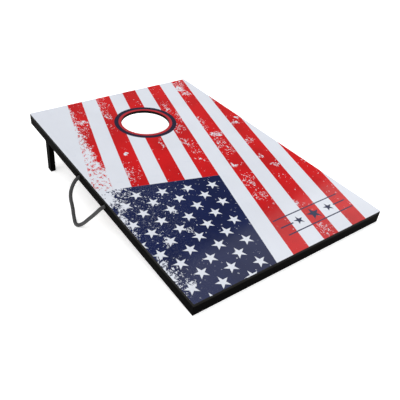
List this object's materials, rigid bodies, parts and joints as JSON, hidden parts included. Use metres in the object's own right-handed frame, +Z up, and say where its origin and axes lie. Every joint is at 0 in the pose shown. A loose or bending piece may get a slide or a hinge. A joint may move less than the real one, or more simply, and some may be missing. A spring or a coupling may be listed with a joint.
{
  "type": "cornhole board",
  "caption": "Inclined lawn-game target board with a round bag hole, a black frame, folding legs and a rope handle.",
  "frame": {"origin": "centre of the standing board's footprint box, on the ground, the rope handle left out", "axes": "+X to the right seen from the near low end, +Y towards the raised far end, +Z up"},
  "size_m": [0.6662, 0.9068, 0.1954],
  "materials": {
    "printed_laminate": "semi-gloss printed film, red, white and navy, with a distressed pattern",
    "painted_fibreboard": "fibreboard with black painted edges and underside",
    "black_painted_wood": "satin black paint on softwood, with a faint grain",
    "bare_pine": "planed pine, unpainted",
    "zinc_steel": "bright zinc plate",
    "brass": "turned brass",
    "white_nylon": "natural nylon",
    "grey_rope": "braided dark grey polypropylene"
  },
  "bodies": {
    "board": {"deck_panel": "painted_fibreboard", "deck_print": "printed_laminate", "front_rail": "black_painted_wood", "rear_rail": "black_painted_wood", "left_rail": "black_painted_wood", "right_rail": "black_painted_wood", "centre_brace": "bare_pine", "front_left_corner_block": "bare_pine", "front_right_corner_block": "bare_pine", "rear_left_corner_block": "bare_pine", "rear_right_corner_block": "bare_pine", "corner_block_screws": "zinc_steel", "left_brace_bracket": "zinc_steel", "right_brace_bracket": "zinc_steel", "bracket_screws": "zinc_steel", "left_threaded_insert": "brass", "right_threaded_insert": "brass", "left_pivot_bolt": "zinc_steel", "right_pivot_bolt": "zinc_steel", "left_spacer_washer": "white_nylon", "right_spacer_washer": "white_nylon", "left_head_washer": "zinc_steel", "right_head_washer": "zinc_steel", "handle_rope": "grey_rope", "near_rope_knot": "grey_rope", "far_rope_knot": "grey_rope"},
    "left_leg": {"left_leg": "black_painted_wood"},
    "right_leg": {"right_leg": "black_painted_wood"}
  },
  "joints": [
    {"name": "left_leg_fold", "type": "hinge", "parent": "board", "child": "left_leg", "pos_m": [-0.2763, 0.37634, 0.15957], "axis": [1, 0, 0], "range_deg": [-90, 0]},
    {"name": "right_leg_fold", "type": "hinge", "parent": "board", "child": "right_leg", "pos_m": [0.2763, 0.37634, 0.15957], "axis": [1, 0, 0], "range_deg": [-90, 0]}
  ]
}
